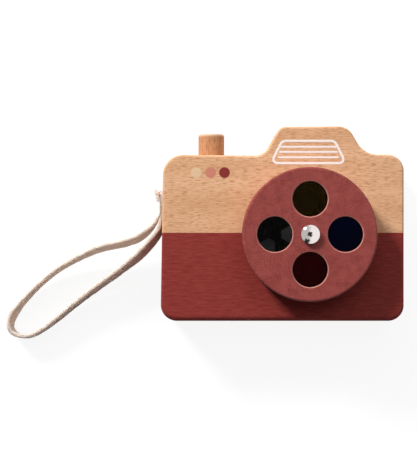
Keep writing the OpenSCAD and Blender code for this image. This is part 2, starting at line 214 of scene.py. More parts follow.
# The screw's head sinks the tape to its own foot, out to this radius, with a slope round it
DIMPLE_FOOT = 1.55
DIMPLE_RADIUS = 3.1
DIMPLE_SLOPE = 0.9
# Loose threads at the tape's ends: their make, the rows of the tape that they leave, and how they spread
THREAD_RADIUS = 0.15
THREAD_SIDES = 5
THREAD_STEPS = 4
THREAD_CURL = 0.35
THREAD_TAPER = 0.8
FRAY_COUNT = 120
FRAY_ROWS = 22
FRAY_ACROSS = 4.9
FRAY_THROUGH = 0.9
FRAY_OUT = 1.1
FRAY_SPREAD = 0.35
FRAY_LENGTHS = (0.9, 2.8)
# Fuzz along its edges: its make, how deep it is rooted, and how it spreads
FUZZ_COUNT = 400
FUZZ_RADIUS = 0.04
FUZZ_SIDES = 4
FUZZ_ROOT = 0.2
FUZZ_THROUGH = 0.6
FUZZ_SPREAD = 1.2
FUZZ_LENGTHS = (0.8, 1.5)


def mm(*values):
    return Vector(values) * MM


def make_camera():
    optics = bpy.data.cameras.new("photo_camera")
    optics.lens = CAMERA_LENS
    optics.sensor_width = CAMERA_SENSOR
    camera = bpy.data.objects.new("photo_camera", optics)
    camera.location = mm(*CAMERA_PLACE)
    scene.collection.objects.link(camera)
    scene.camera = camera


def finish_piece(bm, name, body, sharp_angle=SHARP_ANGLE):
    """Makes an object of a bmesh, smooth but for its sharp edges, and lets it ride on a body."""
    for face in bm.faces:
        face.smooth = True
    for edge in bm.edges:
        edge.smooth = edge.calc_face_angle(0) < sharp_angle
    mesh = bpy.data.meshes.new(name)
    bm.to_mesh(mesh)
    bm.free()
    piece = bpy.data.objects.new(name, mesh)
    scene.collection.objects.link(piece)
    if body:
        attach(piece, body)
    return piece


def polygon_face(bm, points, z):
    """One flat face through corner points at one height."""
    corners = [bm.verts.new(mm(x, y, z)) for x, y in points]
    bmesh.ops.contextual_create(bm, geom=corners)
    return corners


def turn_at(points, i):
    """The angle that an outline turns through at its corner i."""
    before, here, after = (Vector(points[k % len(points)]) for k in (i - 1, i, i + 1))
    return (here - before).angle(after - here)


def rounded_face(bm, corners, z, segments):
    """A flat face whose corners, given as x, y and radius, are rounded."""
    points = [corner[:2] for corner in corners]
    verts = polygon_face(bm, points, z)
    for i, vert in enumerate(verts):
        setback = corners[i][2] * math.tan(turn_at(points, i) / 2)
        bmesh.ops.bevel(
            bm, geom=[vert], offset=setback * MM, offset_type="OFFSET", affect="VERTICES",
            segments=segments, profile=0.5, material=-1,
        )


def raise_face(bm, height):
    """Extrudes every face of a flat outline upwards into a closed solid."""
    raised = bmesh.ops.extrude_face_region(bm, geom=bm.faces[:])["geom"]
    top = [item for item in raised if isinstance(item, bmesh.types.BMVert)]
    bmesh.ops.translate(bm, vec=mm(0, 0, height), verts=top)
    bmesh.ops.recalc_face_normals(bm, faces=bm.faces[:])


def turned_solid(name, place, way, profile):
    """A solid turned about an axis: profile gives its radius at each height along the way."""
    bm = bmesh.new()
    line = [bm.verts.new(mm(radius, 0, height)) for radius, height in profile]
    edges = [bm.edges.new(pair) for pair in zip(line, line[1:])]
    bmesh.ops.spin(
        bm, geom=line + edges, axis=(0, 0, 1), cent=(0, 0, 0), angle=math.tau,
        steps=TURN_STEPS, use_merge=True,
    )
    bmesh.ops.remove_doubles(bm, verts=bm.verts[:], dist=MERGE_DISTANCE)
    bmesh.ops.holes_fill(bm, edges=[edge for edge in bm.edges if edge.is_boundary])
    bmesh.ops.recalc_face_normals(bm, faces=bm.faces[:])
    turned = Vector(way).to_track_quat("Z", "Y").to_matrix().to_4x4()
    bmesh.ops.transform(bm, matrix=Matrix.Translation(mm(*place)) @ turned, verts=bm.verts[:])
    return finish_piece(bm, name, None)


def cut_away(piece, cutters):
    """Cuts the cutters out of a piece for good and removes them."""
    for cutter in cutters:
        modifier = piece.modifiers.new(cutter.name, "BOOLEAN")
        modifier.object = cutter
        modifier.operation = "DIFFERENCE"
        modifier.solver = "EXACT"
    shaped = bmesh.new()
    shaped.from_object(piece, bpy.context.evaluated_depsgraph_get())
    piece.modifiers.clear()
    for cutter in cutters:
        bpy.data.objects.remove(cutter)
    for edge in shaped.edges:
        edge.smooth = edge.calc_face_angle(0) < SHARP_ANGLE
    shaped.to_mesh(piece.data)
    shaped.free()


def even_shading(piece):
    """Keeps flat faces flat to the eye beside rounded edges."""
    modifier = piece.modifiers.new("even_shading", "WEIGHTED_NORMAL")
    modifier.keep_sharp = True


def into_face():
    """The way square into the leaning left face."""
    return Vector((math.cos(FACE_LEAN), -math.sin(FACE_LEAN), 0))


def grow(bm, faces):
    """Extrudes faces in place, and gives the new faces and their corners."""
    grown = bmesh.ops.extrude_face_region(bm, geom=faces)["geom"]
    ends = [item for item in grown if isinstance(item, bmesh.types.BMFace)]
    ring = [item for item in grown if isinstance(item, bmesh.types.BMVert)]
    return ends, ring


def mark_outline(bm):
    """Keeps, on each corner of a flat outline, its place and the way out of the outline there."""
    spot = bm.verts.layers.float_vector.new("spot")
    out = bm.verts.layers.float_vector.new("out")
    face = bm.faces[:][0]
    face.normal_update()
    for loop in face.loops:
        before = (loop.vert.co - loop.link_loop_prev.vert.co).normalized()
        after = (loop.link_loop_next.vert.co - loop.vert.co).normalized()
        loop.vert[spot] = loop.vert.co
        loop.vert[out] = (before + after).cross(face.normal).normalized()
    return spot, out


def make_block_solid(bm):
    """Grows the block's outline from back to front, with its two edges rounded."""
    rounded_face(bm, BLOCK_CORNERS, 0, CORNER_STEPS)
    spot, out = mark_outline(bm)
    quarter = [math.pi / 2 * k / EDGE_STEPS for k in range(EDGE_STEPS + 1)]
    back = [(angle, 0, 1) for angle in quarter]
    front = [(angle, BLOCK_THICK * MM, -1) for angle in reversed(quarter)]
    levels = back + front
    faces, ring = bm.faces[:], bm.verts[:]
    for angle, height, up in levels:
        for vert in ring:
            rounding = (EDGE_ROUND + (BASE_ROUND - EDGE_ROUND) * max(0, -vert[out].y)) * MM
            vert.co = vert[spot] - vert[out] * rounding * (1 - math.sin(angle))
            vert.co.z = height + up * rounding * (1 - math.cos(angle))
        if (angle, height, up) != levels[-1]:
            faces, ring = grow(bm, faces)
    bmesh.ops.recalc_face_normals(bm, faces=bm.faces[:])


def make_block():
    bm = bmesh.new()
    make_block_solid(bm)
    block = finish_piece(bm, "block_wood", "block")
    past = 1
    wide = TUNNEL_RADIUS + TUNNEL_FLARE + past
    tunnel = turned_solid("tunnel_cutter", (*TUNNEL_PLACE, 0), (0, 0, 1), (
        (0, -past), (wide, -past), (TUNNEL_RADIUS, TUNNEL_FLARE),
        (TUNNEL_RADIUS, BLOCK_THICK + past), (0, BLOCK_THICK + past),
    ))
    axle = turned_solid("axle_cutter", (*AXLE_PLACE, 0), (0, 0, 1), (
        (0, AXLE_FOOT), (AXLE_RADIUS, AXLE_FOOT),
        (AXLE_RADIUS, BLOCK_THICK + past), (0, BLOCK_THICK + past),
    ))
    bore_top = SHOULDER_Y + past
    button = turned_solid("button_cutter", (BUTTON_X, 0, BUTTON_MIDDLE), (0, 1, 0), (
        (0, BUTTON_BORE_FOOT), (BUTTON_BORE_RADIUS, BUTTON_BORE_FOOT),
        (BUTTON_BORE_RADIUS, bore_top), (0, bore_top),
    ))
    pin = turned_solid("pin_cutter", (BUTTON_X, PIN_Y, 0), (0, 0, 1), (
        (0, -past), (PIN_RADIUS, -past), (PIN_RADIUS, PIN_TOP), (0, PIN_TOP),
    ))
    screw = turned_solid("screw_cutter", SCREW_PLACE, into_face(), (
        (0, -past), (SCREW_RADIUS, -past), (SCREW_RADIUS, SCREW_DEPTH), (0, SCREW_DEPTH),
    ))
    cut_away(block, [tunnel, axle, button, pin, screw])
    even_shading(block)
    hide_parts("body")
    return block


def make_spring():
    """The spring under the button: wire wound up in a helix."""
    bm = bmesh.new()
    foot = SPRING_FOOT + SPRING_WIRE_RADIUS
    start = Matrix.Translation(mm(BUTTON_X + SPRING_RADIUS, foot, BUTTON_MIDDLE))
    bmesh.ops.create_circle(
        bm, segments=SPRING_WIRE_SIDES, radius=SPRING_WIRE_RADIUS * MM, matrix=start,
    )
    bmesh.ops.spin(
        bm, geom=bm.verts[:] + bm.edges[:], axis=(0, -1, 0), cent=mm(BUTTON_X, foot, BUTTON_MIDDLE),
        dvec=mm(0, SPRING_PITCH / SPRING_STEPS, 0),
        angle=math.tau * SPRING_TURNS, steps=SPRING_TURNS * SPRING_STEPS,
    )
    bmesh.ops.holes_fill(bm, edges=[edge for edge in bm.edges if edge.is_boundary])
    bmesh.ops.recalc_face_normals(bm, faces=bm.faces[:])
    spring = finish_piece(bm, "wound_spring", "block", WIRE_ANGLE)
    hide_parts("button_spring")
    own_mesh(spring)
    return spring


def make_flash_outline():
    bm = bmesh.new()
    foot, top = FLASH_FOOT_W / 2, FLASH_TOP_W / 2
    rounded_face(bm, (
        (FLASH_X - foot, FLASH_FOOT_Y, FLASH_FOOT_R),
        (FLASH_X + foot, FLASH_FOOT_Y, FLASH_FOOT_R),
        (FLASH_X + top, FLASH_TOP_Y, FLASH_TOP_R),
        (FLASH_X - top, FLASH_TOP_Y, FLASH_TOP_R),
    ), BLOCK_THICK, FLASH_STEPS)
    inner = bm.faces[:]
    bmesh.ops.inset_region(bm, faces=inner, thickness=FLASH_LINE * MM, use_boundary=True)
    bmesh.ops.delete(bm, geom=inner, context="FACES_ONLY")
    raise_face(bm, INK_THICK)
    outline = finish_piece(bm, "flash_outline", "block")
    return outline


def make_flash_stripes():
    bm = bmesh.new()
    half_line = STRIPE_LINE / 2
    for y, reach in FLASH_STRIPES:
        rounded_face(bm, (
            (FLASH_X - reach, y - half_line, STRIPE_ROUND),
            (FLASH_X + reach, y - half_line, STRIPE_ROUND),
            (FLASH_X + reach, y + half_line, STRIPE_ROUND),
            (FLASH_X - reach, y + half_line, STRIPE_ROUND),
        ), BLOCK_THICK, STRIPE_STEPS)
    raise_face(bm, INK_THICK)
    stripes = finish_piece(bm, "flash_stripes", "block")
    return stripes


def make_dot(name):
    bm = bmesh.new()
    bmesh.ops.create_circle(
        bm, cap_ends=True, segments=DOT_STEPS, radius=DOT_RADIUS * MM,
        matrix=Matrix.Translation(mm(DOT_PLACES[name], DOT_Y, BLOCK_THICK)),
    )
    raise_face(bm, INK_THICK)
    dot = finish_piece(bm, name, "block")
    return dot


def strap_point(i, share):
    """Place in millimetres, lean and thickness on a smooth curve between the route's points i and i + 1."""
    last = len(STRAP_ROUTE) - 1
    a, b, c, d = (Vector(STRAP_ROUTE[max(0, min(last, k))]) for k in (i - 1, i, i + 1, i + 2))
    bent = 2 * a - 5 * b + 4 * c - d
    sharp = 3 * b - a - 3 * c + d
    return (2 * b + (c - a) * share + bent * share ** 2 + sharp * share ** 3) / 2


def strap_line():
    """Points along the strap, a short even step apart."""
    points = [
        strap_point(i, k / STRAP_STEPS) for i in range(len(STRAP_ROUTE) - 1) for k in range(STRAP_STEPS)
    ]
    points.append(Vector(STRAP_ROUTE[-1]))
    line = [points[0]]
    ahead = WEAVE_STEP
    for before, after in zip(points, points[1:]):
        span = (Vector(after[:3]) - Vector(before[:3])).length
        while ahead <= span:
            line.append(before.lerp(after, ahead / span))
            ahead += WEAVE_STEP
        ahead -= span
    return line


def tape_frames(line):
    """A frame at each point of the strap: X across the tape, Y through it and Z along it.

    Y is as long as the tape is thick there, as a share of its full thickness.
    """
    on_face = Matrix.Translation(mm(*SCREW_PLACE[:2], 0)) @ Matrix.Rotation(-FACE_LEAN, 4, "Z")
    frames = []
    for i, point in enumerate(line):
        before = Vector(line[max(0, i - 1)][:3])
        after = Vector(line[min(len(line) - 1, i + 1)][:3])
        lean = math.radians(point[3])
        along = (after - before).normalized()
        across = Vector((0, 0, math.cos(lean))) + LEAN_WAY * math.sin(lean)
        across = (across - along * across.dot(along)).normalized()
        through = along.cross(across) * (point[4] / TAPE_THICK)
        turned = Matrix((across, through, along)).transposed().to_4x4()
        frames.append(on_face @ Matrix.Translation(mm(*point[:3])) @ turned)
    return frames


def tape_section():
    """Points round the tape's section, each with the way out there: two flat faces, two squarish edges."""
    half = TAPE_THICK / 2
    flat = TAPE_WIDTH / 2 - half
    points = [(-flat + 2 * flat * k / FACE_COUNT, -half, 0, -1) for k in range(FACE_COUNT)]
    for k in range(EDGE_COUNT):
        turn = math.pi * (k / EDGE_COUNT - 0.5)
        out = Vector((math.cos(turn), math.sin(turn)))
        squared = [math.copysign(abs(share) ** EDGE_SQUARE, share) for share in out]
        points.append((flat + half * squared[0], half * squared[1], *out))
    return points + [tuple(-value for value in point) for point in points]


def edge_share(across):
    """0 on the tape's faces and 1 on its edges."""
    return max(0.0, min(1.0, (abs(across) - EDGE_START) / EDGE_BLEND))


def weave_crown(across, along, place):
    """-1 in the gaps of the weave and 1 on its threads: ribs on the faces, uneven loops on the edges."""
    edge = edge_share(across)
    rib = math.sin(math.tau * (along / RIB_ALONG + across / RIB_ACROSS))
    loop = max(-1.0, min(1.0, noise.noise(place * LOOPS) * LOOP_CONTRAST))
    return rib * (1 - edge) + loop * edge


def lumps(place):
    """How far the tape is out of true, in millimetres."""
    return sum(noise.noise(place * count) * height for count, height in TAPE_LUMPS)


def under_head(place):
    """A point of the tape, sunk to the foot of the screw's head where it lies under the head."""
    out = -into_face()
    offset = place - mm(*SCREW_PLACE)
    height = offset.dot(out)
    aside = (offset - out * height).length
    share = max(0.0, min(1.0, (DIMPLE_RADIUS + DIMPLE_SLOPE - aside / MM) / DIMPLE_SLOPE))
    return place - out * max(0.0, height - DIMPLE_FOOT * MM) * share


def make_tape(frames):
    """The woven tape itself: a sheet rolled round its section and closed at its ends."""
    section = tape_section()
    columns = len(section) + 1
    bm = bmesh.new()
    bmesh.ops.create_grid(bm, x_segments=columns - 1, y_segments=len(frames) - 1, size=1)
    bm.verts.ensure_lookup_table()
    thread = bm.verts.layers.float.new("thread")
    for row, frame_at in enumerate(frames):
        swell = max(0.0, LOOSE_THICK / (TAPE_THICK * frame_at.col[1].length) - 1)
        for column, (across, through, out_x, out_y) in enumerate(section + section[:1]):
            edge = edge_share(across)
            place = frame_at @ mm(across, through * (1 + swell * edge), 0)
            crown = weave_crown(across, row * WEAVE_STEP, place)
            vert = bm.verts[row * columns + column]
            # The crown is kept for the cotton's colour, which paints shade into the weave's gaps
            vert[thread] = crown
            relief = WEAVE_RELIEF * crown + lumps(place)
            vert.co = under_head(place + frame_at.to_3x3() @ mm(out_x, out_y, 0) * relief)
    bmesh.ops.remove_doubles(bm, verts=bm.verts[:], dist=MERGE_DISTANCE)
    bmesh.ops.holes_fill(bm, edges=[edge for edge in bm.edges if edge.is_boundary])
    bmesh.ops.recalc_face_normals(bm, faces=bm.faces[:])
    tape = finish_piece(bm, "wrist_strap", "block", COTTON_ANGLE)
    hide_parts("strap")
    return tape


def grow_thread(bm, start, way, length):
    """One loose thread: a thin tube that tapers and curls a little."""
    turned = way.to_track_quat("Z", "Y").to_matrix().to_4x4()
    made = bmesh.ops.create_circle(
        bm, cap_ends=True, segments=THREAD_SIDES, radius=THREAD_RADIUS * MM,
        matrix=Matrix.Translation(start) @ turned,
    )
    end = made["verts"][0].link_faces[:]
    tip = start.copy()
    for step in range(THREAD_STEPS):
        end, ring = grow(bm, end)
        curl = Vector([chance.uniform(-THREAD_CURL, THREAD_CURL) for axis in range(3)])
        way = (way + curl).normalized()
        bmesh.ops.translate(bm, vec=way * length / THREAD_STEPS, verts=ring)
        tip += way * length / THREAD_STEPS
        bmesh.ops.scale(bm, vec=(THREAD_TAPER,) * 3, space=Matrix.Translation(-tip), verts=ring)


def make_frays(frames):
    """Loose threads at the tape's two cut ends."""
    bm = bmesh.new()
    for tail, outwards in ((frames[1:FRAY_ROWS], -1), (frames[-FRAY_ROWS:-1], 1)):
        for count in range(FRAY_COUNT):
            frame_at = chance.choice(tail)
            way = frame_at.to_3x3().col[2].normalized() * outwards
            across = chance.uniform(-FRAY_ACROSS, FRAY_ACROSS)
            through = chance.uniform(-FRAY_THROUGH, FRAY_THROUGH)
            start = frame_at @ mm(across, through, 0)
            spread = Vector((chance.uniform(-FRAY_OUT, 0), 0, chance.uniform(-FRAY_SPREAD, FRAY_SPREAD)))
            grow_thread(bm, start, (way + spread).normalized(), chance.uniform(*FRAY_LENGTHS) * MM)
    bmesh.ops.recalc_face_normals(bm, faces=bm.faces[:])
    frays = finish_piece(bm, "strap_frays", "block", COTTON_ANGLE)
    return frays


def make_fuzz(frames):
    """Short fibres that stand out along the tape's two edges."""
    bm = bmesh.new()
    for count in range(FUZZ_COUNT):
        frame_at = chance.choice(frames)
        side = chance.choice((-1, 1))
        through = chance.uniform(-FUZZ_THROUGH, FUZZ_THROUGH)
        start = frame_at @ mm(side * (TAPE_WIDTH / 2 - FUZZ_ROOT), through, 0)
        spread = [chance.uniform(-FUZZ_SPREAD, FUZZ_SPREAD) for axis in range(2)]
        way = frame_at.to_3x3() @ Vector((side, *spread))
        turned = way.to_track_quat("Z", "Y").to_matrix().to_4x4()
        bmesh.ops.create_cone(
            bm, cap_ends=True, segments=FUZZ_SIDES, radius1=FUZZ_RADIUS * MM, radius2=FUZZ_RADIUS * MM / 3,
            depth=chance.uniform(*FUZZ_LENGTHS) * MM, matrix=Matrix.Translation(start) @ turned,
        )
    fuzz = finish_piece(bm, "strap_fuzz", "block", COTTON_ANGLE)
    return fuzz


def make_strap():
    """The wrist strap: its tape, loose threads, fuzz and screw."""
    frames = tape_frames(strap_line())
    tape = make_tape(frames)
    frays = make_frays(frames)
    fuzz = make_fuzz(frames)
    screw = make_screw()
    return tape, frays, fuzz, screw


def recess_cutter(name):
    """One arm of the cross in the screw's head."""
    bm = bmesh.new()
    bmesh.ops.create_cube(bm, size=MM)
    bmesh.ops.scale(bm, vec=RECESS_SIZE, verts=bm.verts[:])
    turn = Matrix.Rotation(RECESS_TURNS[name], 3, "Z")
    bmesh.ops.rotate(bm, cent=(0, 0, 0), matrix=turn, verts=bm.verts[:])
    bmesh.ops.translate(bm, vec=mm(0, 0, SCREW_HEAD_FOOT + SCREW_HEAD_HEIGHT), verts=bm.verts[:])
    turned = (-into_face()).to_track_quat("Z", "Y").to_matrix().to_4x4()
    bmesh.ops.transform(bm, matrix=Matrix.Translation(mm(*SCREW_PLACE)) @ turned, verts=bm.verts[:])
    return finish_piece(bm, name, None)


def make_screw():
    """The domed screw through both ends of the tape, with a cross recess."""
    rise, reach = SCREW_HEAD_HEIGHT, SCREW_HEAD_RADIUS
    dome_r = (reach ** 2 + rise ** 2) / (2 * rise)
    dome_angle = math.asin(reach / dome_r)
    dome = []
    for k in range(SCREW_DOME_STEPS, -1, -1):
        angle = dome_angle * k / SCREW_DOME_STEPS
        drop = dome_r * (1 - math.cos(angle))
        dome.append((dome_r * math.sin(angle), SCREW_HEAD_FOOT + rise - drop))
    shank = [(0, -SCREW_DEPTH), (SCREW_RADIUS, -SCREW_DEPTH), (SCREW_RADIUS, SCREW_HEAD_FOOT)]
    screw = turned_solid("tape_screw", SCREW_PLACE, -into_face(), shank + dome)
    cut_away(screw, [recess_cutter(name) for name in RECESS_TURNS])
    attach(screw, "block")
    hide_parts("strap_screw")
    return screw


# Node helpers

def add(tree, kind, values=None, **settings):
    """A node with its settings, and each input either set to a value or joined to an output."""
    made = tree.nodes.new(kind)
    for name, setting in settings.items():
        setattr(made, name, setting)
    for socket, value in (values or {}).items():
        if isinstance(value, bpy.types.NodeSocket):
            tree.links.new(value, made.inputs[socket])
        else:
            made.inputs[socket].default_value = value
    return made


def rgb(red, green, blue):
    """A colour written as it shows on a screen, from 0 to 255, as the linear colour that a shader takes."""
    def linear(value):
        share = value / 255
        return share / 12.92 if share <= 0.04045 else ((share + 0.055) / 1.055) ** 2.4
    return (linear(red), linear(green), linear(blue), 1)


def mix_colour(tree, factor, first, second):
    """Two colours mixed. A mix node's colours are its inputs 6 and 7 and its output 2."""
    made = add(tree, "ShaderNodeMix", {0: factor, 6: first, 7: second}, data_type="RGBA")
    return made.outputs[2]


def sums(tree, operation, first, second):
    made = add(tree, "ShaderNodeMath", {0: first, 1: second}, operation=operation)
    return made.outputs[0]


def blend(tree, first, first_share, second, second_share):
    """A share of one value and a share of another, added up."""
    first_part = sums(tree, "MULTIPLY", first, first_share)
    return sums(tree, "ADD", first_part, sums(tree, "MULTIPLY", second, second_share))


def band(tree, value, low, high, to_low=0.0, to_high=1.0):
    """A value stretched from the span low to high onto another span, smoothly and held at its ends."""
    made = add(
        tree, "ShaderNodeMapRange",
        {"Value": value, "From Min": low, "From Max": high, "To Min": to_low, "To Max": to_high},
        interpolation_type="SMOOTHSTEP",
    )
    return made.outputs["Result"]


def apart(tree, place, other):
    """The distance between two places."""
    made = add(tree, "ShaderNodeVectorMath", {0: place, 1: other}, operation="DISTANCE")
    return made.outputs["Value"]


def stretched(tree, place, scale):
    made = add(tree, "ShaderNodeVectorMath", {0: place, 1: scale}, operation="MULTIPLY")
    return made.outputs["Vector"]


def speckle(tree, place, scale, detail=2.0, roughness=0.5):
    made = add(
        tree, "ShaderNodeTexNoise",
        {"Vector": place, "Scale": scale, "Detail": detail, "Roughness": roughness},
    )
    return made.outputs[0]


def new_group(name, inputs, outputs):
    """An empty node group, with the names and kinds of its inputs and outputs."""
    tree = bpy.data.node_groups.new(name, "ShaderNodeTree")
    for socket, kind in inputs.items():
        tree.interface.new_socket(socket, in_out="INPUT", socket_type=kind)
    for socket, kind in outputs.items():
        tree.interface.new_socket(socket, in_out="OUTPUT", socket_type=kind)
    entry = tree.nodes.new("NodeGroupInput")
    leave = tree.nodes.new("NodeGroupOutput")
    return tree, entry.outputs, leave.inputs


def make_grain_group():
    """Beech grain along X: soft bands, fine fibres and short dark flecks, each from 0 to 1."""
    tree, given, made = new_group(
        "beech_grain",
        {"Place": "NodeSocketVector"},
        {"Bands": "NodeSocketFloat", "Fibres": "NodeSocketFloat", "Flecks": "NodeSocketFloat"},
    )
    place = given["Place"]
    bands = speckle(tree, stretched(tree, place, (12, 110, 110)), 1.0, 3.0, 0.55)
    fibres = speckle(tree, stretched(tree, place, (110, 3000, 3000)), 1.0, 2.0, 0.6)
    rays = speckle(tree, stretched(tree, place, (300, 2500, 2000)), 1.0, 1.0, 0.5)
    clusters = speckle(tree, stretched(tree, place, (60, 160, 160)), 1.0, 2.0, 0.5)
    mask = sums(tree, "MULTIPLY", band(tree, rays, 0.52, 0.64), band(tree, clusters, 0.1, 0.5))
    tree.links.new(bands, made["Bands"])
    tree.links.new(fibres, made["Fibres"])
    tree.links.new(mask, made["Flecks"])
    return tree


def new_material(name):
    """A material with only its output and one surface shader."""
    material = bpy.data.materials.new(name)
    material.use_nodes = True
    tree = material.node_tree
    shader = next(item for item in tree.nodes if item.type == "BSDF_PRINCIPLED")
    return material, tree, shader


def object_place(tree):
    return tree.nodes.new("ShaderNodeTexCoord").outputs["Object"]


def bump(tree, shader, height, strength, depth):
    made = add(tree, "ShaderNodeBump", {"Height": height, "Strength": strength, "Distance": depth * MM})
    tree.links.new(made.outputs["Normal"], shader.inputs["Normal"])


def beech_colour(tree, grain, pale, deep, fleck):
    """Beech from its grain: two tones in bands and fibres, with dark flecks."""
    tones = blend(tree, grain["Bands"], 0.4, grain["Fibres"], 0.6)
    wood = mix_colour(tree, band(tree, tones, 0.36, 0.64), pale, deep)
    return mix_colour(tree, sums(tree, "MULTIPLY", grain["Flecks"], 0.65), wood, fleck)


def grain_at(tree, grain_group, place):
    """The outputs of the beech grain, placed in a material."""
    return add(tree, "ShaderNodeGroup", {"Place": place}, node_tree=grain_group).outputs


def block_material(grain_group):
    material, tree, shader = new_material("beech_and_paint")
    place = object_place(tree)
    grain = grain_at(tree, grain_group, place)
    wood = beech_colour(tree, grain, rgb(230, 183, 145), rgb(208, 158, 118), rgb(176, 122, 82))
    mottle = speckle(tree, stretched(tree, place, (160, 1300, 1300)), 1.0, 3.0, 0.6)
    paint = mix_colour(tree, band(tree, mottle, 0.3, 0.7), rgb(127, 47, 42), rgb(146, 60, 55))
    split = add(tree, "ShaderNodeSeparateXYZ", {0: place})
    waver = sums(tree, "MULTIPLY", sums(tree, "SUBTRACT", grain["Fibres"], 0.5), 0.25 * MM)
    height = sums(tree, "ADD", split.outputs["Y"], waver)
    painted = band(tree, height, (PAINT_LINE + 0.1) * MM, (PAINT_LINE - 0.1) * MM)
    colour = mix_colour(tree, painted, wood, paint)
    tree.links.new(colour, shader.inputs["Base Color"])
    rough = band(tree, painted, 0, 1, 0.62, 0.68)
    tree.links.new(rough, shader.inputs["Roughness"])
    sunk = sums(tree, "MULTIPLY", grain["Flecks"], 0.8)
    bump(tree, shader, sums(tree, "SUBTRACT", grain["Fibres"], sunk), 0.35, 0.08)
    shader.inputs["Specular IOR Level"].default_value = 0.15
    return material


def rim_highlight(tree, place):
    """Where a painted highlight makes the paint pale on the rim of each window of the disc, from 0 to 1."""
    flat = stretched(tree, place, (1, 1, 0))
    middle = mm(*AXLE_PLACE, 0)
    aside = add(tree, "ShaderNodeVectorMath", {0: flat, 1: middle}, operation="SUBTRACT")
    folded = add(tree, "ShaderNodeVectorMath", {0: aside.outputs["Vector"]}, operation="ABSOLUTE")
    beside = apart(tree, folded.outputs["Vector"], mm(WINDOW_PITCH, 0, 0))
    above = apart(tree, folded.outputs["Vector"], mm(0, WINDOW_PITCH, 0))
    nearest = sums(tree, "MINIMUM", beside, above)
    height = add(tree, "ShaderNodeSeparateXYZ", {0: place}).outputs["Z"]
    near = band(tree, nearest, (WINDOW_RADIUS + RIM_HIGHLIGHT_START) * MM, (WINDOW_RADIUS + RIM_HIGHLIGHT_FULL) * MM)
    front = band(tree, height, (DISC_FRONT - RIM_HIGHLIGHT_START) * MM, (DISC_FRONT - RIM_HIGHLIGHT_FULL) * MM)
    return sums(tree, "MULTIPLY", near, front)


def disc_material():
    material, tree, shader = new_material("matt_red_paint")
    place = object_place(tree)
    fine = speckle(tree, place, 2200.0, 2.0, 0.6)
    cloud = speckle(tree, place, 300.0, 2.0, 0.5)
    tones = blend(tree, fine, 0.75, cloud, 0.25)
    paint = mix_colour(tree, band(tree, tones, 0.36, 0.64), rgb(116, 48, 44), rgb(160, 78, 73))
    # The pale rim colour is a painted highlight, where light would catch each window's rim
    colour = mix_colour(tree, rim_highlight(tree, place), paint, rgb(178, 116, 106))
    tree.links.new(colour, shader.inputs["Base Color"])
    tree.links.new(band(tree, fine, 0.2, 0.8, 0.58, 0.7), shader.inputs["Roughness"])
    shader.inputs["Specular IOR Level"].default_value = 0.35
    bump(tree, shader, fine, 0.3, 0.06)
    return material


def acrylic_material(name, tint, deep):
    material, tree, shader = new_material(name)
    place = object_place(tree)
    haze = speckle(tree, place, 220.0, 2.0, 0.5)
    tree.links.new(mix_colour(tree, haze, tint, deep), shader.inputs["Base Color"])
    shader.inputs["Transmission Weight"].default_value = 1.0
    shader.inputs["IOR"].default_value = 1.49
    tree.links.new(band(tree, haze, 0.3, 0.7, 0.03, 0.07), shader.inputs["Roughness"])
    return material


def metal_material(name, pale, deep, low, high, scratch):
    """Metal with fine wear: two tones, roughness from low to high and scratches of a set depth."""
    material, tree, shader = new_material(name)
    place = object_place(tree)
    wear = speckle(tree, stretched(tree, place, (900, 900, 300)), 1.0, 4.0, 0.6)
    tree.links.new(mix_colour(tree, wear, pale, deep), shader.inputs["Base Color"])
    shader.inputs["Metallic"].default_value = 1.0
    tree.links.new(band(tree, wear, 0.3, 0.7, low, high), shader.inputs["Roughness"])
    bump(tree, shader, wear, 0.2, scratch)
    return material


def dowel_material(grain_group):
    material, tree, shader = new_material("beech_dowel")
    place = object_place(tree)
    turned = add(tree, "ShaderNodeMapping", {"Vector": place, "Rotation": (0, 0, math.pi / 2)})
    grain = grain_at(tree, grain_group, turned.outputs["Vector"])
    wood = beech_colour(tree, grain, rgb(196, 143, 102), rgb(178, 124, 84), rgb(144, 90, 58))
    height = add(tree, "ShaderNodeSeparateXYZ", {0: place}).outputs["Y"]
    # Painted highlight: the button's top edge is painted paler, as where the light falls on it
    top_highlight = band(tree, height, (BUTTON_TOP_Y - 1.6) * MM, (BUTTON_TOP_Y - 0.9) * MM)
    tree.links.new(mix_colour(tree, top_highlight, wood, rgb(206, 172, 146)), shader.inputs["Base Color"])
    tree.links.new(band(tree, grain["Fibres"], 0.2, 0.8, 0.45, 0.6), shader.inputs["Roughness"])
    bump(tree, shader, grain["Fibres"], 0.4, 0.08)
    return material


def cotton_material(name, soaked, woven):
    """Undyed cotton, which lets a share of the light soak through it, with painted shade in the gaps of its
    weave or not.
    """
    material, tree, shader = new_material(name)
    fuzz = speckle(tree, object_place(tree), 1300.0, 3.0, 0.6)
    stain = speckle(tree, object_place(tree), 90.0, 2.0, 0.5)
    tones = blend(tree, fuzz, 0.85, stain, 0.15)
    if woven:
        # Painted shade: darker in the gaps of the weave and paler on its threads, from the tape's weave
        # crowns
        thread = add(tree, "ShaderNodeAttribute", attribute_name="thread").outputs["Fac"]
        tones = sums(tree, "ADD", tones, sums(tree, "MULTIPLY", thread, 0.08))
    colour = mix_colour(tree, band(tree, tones, 0.34, 0.66), rgb(197, 179, 166), rgb(221, 205, 193))
    tree.links.new(colour, shader.inputs["Base Color"])
    tree.links.new(band(tree, fuzz, 0.2, 0.8, 0.85, 0.95), shader.inputs["Roughness"])
    shader.inputs["Sheen Weight"].default_value = 0.2
    shader.inputs["Specular IOR Level"].default_value = 0.1
    shader.inputs["Subsurface Weight"].default_value = soaked
    shader.inputs["Subsurface Radius"].default_value = (1.0, 1.0, 1.0)
    shader.inputs["Subsurface Scale"].default_value = 4 * MM
    bump(tree, shader, fuzz, 0.35, 0.12)
    return material


